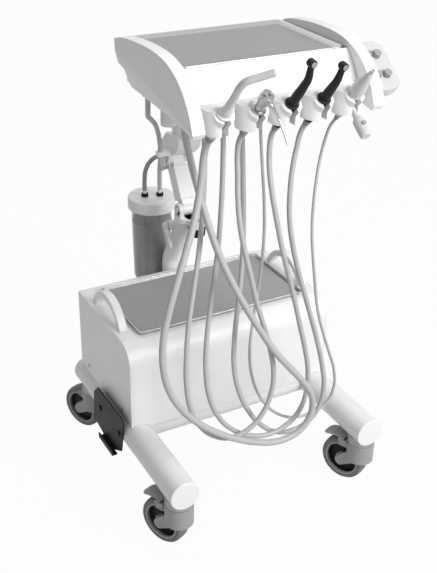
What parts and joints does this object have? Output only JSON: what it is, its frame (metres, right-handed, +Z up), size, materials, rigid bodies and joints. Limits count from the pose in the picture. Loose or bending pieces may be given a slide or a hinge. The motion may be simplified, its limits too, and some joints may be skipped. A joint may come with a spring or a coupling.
{
  "type": "portable dental unit",
  "caption": "Mobile dental unit: castor base with compressor casing, mast with tilting arm, and a tray head holding instruments on hoses, with a suction jar.",
  "frame": {"origin": "on the floor, below the middle of the unit without its hoses", "axes": "+X to the right of a person who faces the unit, -Y to its front (the instruments), +Z up"},
  "size_m": [0.5321, 0.6803, 0.9666],
  "materials": {
    "white_paint": "smooth satin white powder coat",
    "white_plastic": "smooth white moulded plastic",
    "light_plastic": "light grey moulded plastic",
    "castor_plastic": "mid grey moulded plastic",
    "wheel_rubber": "dark grey rubber tread on a grey hub",
    "cast_grey": "cast, satin",
    "tray_steel": "polished rim",
    "mat_rubber": "smooth grey mat",
    "black_plastic": "satin black plastic",
    "plated_steel": "zinc plated",
    "black_metal": "black anodised",
    "chrome_steel": "polished",
    "jar_plastic": "smoky clear",
    "hose_rubber": "light grey silicone, slightly glossy",
    "hose_dark": "translucent grey tube",
    "compressor_metal": "cast",
    "tank_paint": "white painted tank"
  },
  "bodies": {
    "root": {"frame_tubes": "white_paint", "tube_end_caps": "white_plastic", "castor_mounts": "cast_grey", "base_chassis": "plated_steel", "casing_cover": "white_plastic", "casing_left_panel": "white_plastic", "casing_right_panel": "white_plastic", "panel_screws": "plated_steel", "base_handles": "white_plastic", "compressor": "compressor_metal", "air_tank": "tank_paint", "pedal_hanger": "black_plastic", "mast_column": "white_paint", "suction_jar": "jar_plastic", "jar_lid": "white_plastic", "jar_bracket": "cast_grey", "vacuum_hose": "hose_dark"},
    "castor_fl": {"castor_fork_fl": "castor_plastic"},
    "wheel_fl": {"castor_wheel_fl": "wheel_rubber"},
    "castor_fr": {"castor_fork_fr": "castor_plastic"},
    "wheel_fr": {"castor_wheel_fr": "wheel_rubber"},
    "castor_rl": {"castor_fork_rl": "castor_plastic"},
    "wheel_rl": {"castor_wheel_rl": "wheel_rubber"},
    "castor_rr": {"castor_fork_rr": "castor_plastic"},
    "wheel_rr": {"castor_wheel_rr": "wheel_rubber"},
    "pedal_left": {"brake_pedal_left": "castor_plastic"},
    "pedal_right": {"brake_pedal_right": "castor_plastic"},
    "lever": {"clamp_lever": "light_plastic"},
    "tension": {"tension_knob": "black_plastic"},
    "arm": {"spring_arm": "white_plastic", "jar_hose_arm": "hose_dark"},
    "bracket": {"upper_bracket": "white_plastic"},
    "head": {"head_support": "white_plastic", "head_pan": "white_plastic", "head_front_panel": "white_plastic", "head_left_cheek": "white_plastic", "head_right_cheek": "white_plastic", "instrument_holders": "white_plastic", "water_cup": "white_plastic", "control_box": "light_plastic", "suction_hose": "hose_rubber", "handpiece_hoses": "hose_rubber", "light_cord": "hose_rubber", "jar_hose_head": "hose_dark"},
    "base_tray_body": {"base_tray": "tray_steel", "base_tray_mat": "mat_rubber"},
    "head_tray_body": {"head_tray": "tray_steel", "head_tray_mat": "mat_rubber"},
    "flow_knob_left_body": {"flow_knob_left": "castor_plastic"},
    "flow_knob_right_body": {"flow_knob_right": "castor_plastic"},
    "water_knob_left_body": {"water_knob_left": "castor_plastic"},
    "water_knob_right_body": {"water_knob_right": "castor_plastic"},
    "suction_tool": {"suction_handpiece": "light_plastic"},
    "syringe_tool": {"syringe": "chrome_steel"},
    "handpiece_left_tool": {"handpiece_left": "black_metal"},
    "handpiece_right_tool": {"handpiece_right": "black_metal"},
    "curing_light_tool": {"curing_light": "light_plastic"},
    "air_button_body": {"air_button": "castor_plastic"},
    "water_button_body": {"water_button": "castor_plastic"},
    "curing_trigger_body": {"curing_trigger": "castor_plastic"}
  },
  "joints": [
    {"name": "castor_swivel_fl", "type": "hinge", "parent": "root", "child": "castor_fl", "pos_m": [-0.216, -0.261, 0.095], "axis": [0, 0, 1], "continuous": true},
    {"name": "wheel_spin_fl", "type": "hinge", "parent": "castor_fl", "child": "wheel_fl", "pos_m": [-0.23024, -0.22903, 0.05], "axis": [0.9135, 0.4067, 0], "continuous": true},
    {"name": "castor_swivel_fr", "type": "hinge", "parent": "root", "child": "castor_fr", "pos_m": [0.216, -0.261, 0.095], "axis": [0, 0, 1], "continuous": true},
    {"name": "wheel_spin_fr", "type": "hinge", "parent": "castor_fr", "child": "wheel_fr", "pos_m": [0.20176, -0.22903, 0.05], "axis": [0.9135, 0.4067, 0], "continuous": true},
    {"name": "castor_swivel_rl", "type": "hinge", "parent": "root", "child": "castor_rl", "pos_m": [-0.216, 0.169, 0.095], "axis": [0, 0, 1], "continuous": true},
    {"name": "wheel_spin_rl", "type": "hinge", "parent": "castor_rl", "child": "wheel_rl", "pos_m": [-0.23024, 0.20097, 0.05], "axis": [0.9135, 0.4067, 0], "continuous": true},
    {"name": "castor_swivel_rr", "type": "hinge", "parent": "root", "child": "castor_rr", "pos_m": [0.216, 0.169, 0.095], "axis": [0, 0, 1], "continuous": true},
    {"name": "wheel_spin_rr", "type": "hinge", "parent": "castor_rr", "child": "wheel_rr", "pos_m": [0.20176, 0.20097, 0.05], "axis": [0.9135, 0.4067, 0], "continuous": true},
    {"name": "brake_pedal_press_left", "type": "hinge", "parent": "castor_fl", "child": "pedal_left", "pos_m": [-0.22658, -0.23725, 0.097], "axis": [0.9135, 0.4067, 0], "range_deg": [-8, 0]},
    {"name": "brake_pedal_press_right", "type": "hinge", "parent": "castor_fr", "child": "pedal_right", "pos_m": [0.20542, -0.23725, 0.097], "axis": [0.9135, 0.4067, 0], "range_deg": [-8, 0]},
    {"name": "clamp_lever_turn", "type": "hinge", "parent": "root", "child": "lever", "pos_m": [-0.03, 0.173, 0.478], "axis": [1, 0, 0], "range_deg": [-60, 30]},
    {"name": "tension_knob_turn", "type": "hinge", "parent": "root", "child": "tension", "pos_m": [0, 0.09, 0.498], "axis": [0, 0, 1], "range_deg": [-170, 170]},
    {"name": "arm_lift", "type": "hinge", "parent": "root", "child": "arm", "pos_m": [0, 0.135, 0.53], "axis": [1, 0, 0], "range_deg": [0, 45]},
    {"name": "head_level", "type": "hinge", "parent": "arm", "child": "bracket", "pos_m": [0, 0.19015, 0.62748], "axis": [1, 0, 0], "range_deg": [-45, 0]},
    {"name": "head_swivel", "type": "hinge", "parent": "bracket", "child": "head", "pos_m": [0, 0.16415, 0.71], "axis": [0, 0, 1], "range_deg": [-45, 45]},
    {"name": "base_tray_lift", "type": "slide", "parent": "root", "child": "base_tray_body", "axis": [0, -0.6, 0.8], "range_m": [0, 0.1]},
    {"name": "head_tray_lift", "type": "slide", "parent": "head", "child": "head_tray_body", "axis": [0, 0, 1], "range_m": [0, 0.1]},
    {"name": "flow_knob_left_turn", "type": "hinge", "parent": "head", "child": "flow_knob_left_body", "pos_m": [0.221, -0.14912, 0.90249], "axis": [0, -0.5948, 0.8039], "range_deg": [-135, 135]},
    {"name": "flow_knob_right_turn", "type": "hinge", "parent": "head", "child": "flow_knob_right_body", "pos_m": [0.242, -0.14912, 0.90249], "axis": [0, -0.5948, 0.8039], "range_deg": [-135, 135]},
    {"name": "water_knob_left_turn", "type": "hinge", "parent": "head", "child": "water_knob_left_body", "pos_m": [0.221, -0.18529, 0.87572], "axis": [0, -0.5948, 0.8039], "range_deg": [-135, 135]},
    {"name": "water_knob_right_turn", "type": "hinge", "parent": "head", "child": "water_knob_right_body", "pos_m": [0.242, -0.18529, 0.87572], "axis": [0, -0.5948, 0.8039], "range_deg": [-135, 135]},
    {"name": "suction_draw", "type": "slide", "parent": "head", "child": "suction_tool", "axis": [0, -0.6428, 0.766], "range_m": [0, 0.12]},
    {"name": "syringe_draw", "type": "slide", "parent": "head", "child": "syringe_tool", "axis": [0, -0.6428, 0.766], "range_m": [0, 0.12]},
    {"name": "handpiece_left_draw", "type": "slide", "parent": "head", "child": "handpiece_left_tool", "axis": [0, -0.6428, 0.766], "range_m": [0, 0.12]},
    {"name": "handpiece_right_draw", "type": "slide", "parent": "head", "child": "handpiece_right_tool", "axis": [0, -0.6428, 0.766], "range_m": [0, 0.12]},
    {"name": "curing_light_draw", "type": "slide", "parent": "head", "child": "curing_light_tool", "axis": [0, -0.6428, 0.766], "range_m": [0, 0.12]},
    {"name": "air_button_press", "type": "slide", "parent": "syringe_tool", "child": "air_button_body", "axis": [0, -0.6428, 0.766], "range_m": [-0.002, 0], "stiffness_N_per_m": 300, "springref_m": 0.001},
    {"name": "water_button_press", "type": "slide", "parent": "syringe_tool", "child": "water_button_body", "axis": [0, -0.6428, 0.766], "range_m": [-0.002, 0], "stiffness_N_per_m": 300, "springref_m": 0.001},
    {"name": "curing_trigger_press", "type": "slide", "parent": "curing_light_tool", "child": "curing_trigger_body", "axis": [0, -0.5993, 0.8005], "range_m": [-0.002, 0], "stiffness_N_per_m": 300, "springref_m": 0.001}
  ],
  "couplings": [
    {"joint": "head_level", "follows": "arm_lift", "ratio": -1}
  ]
}
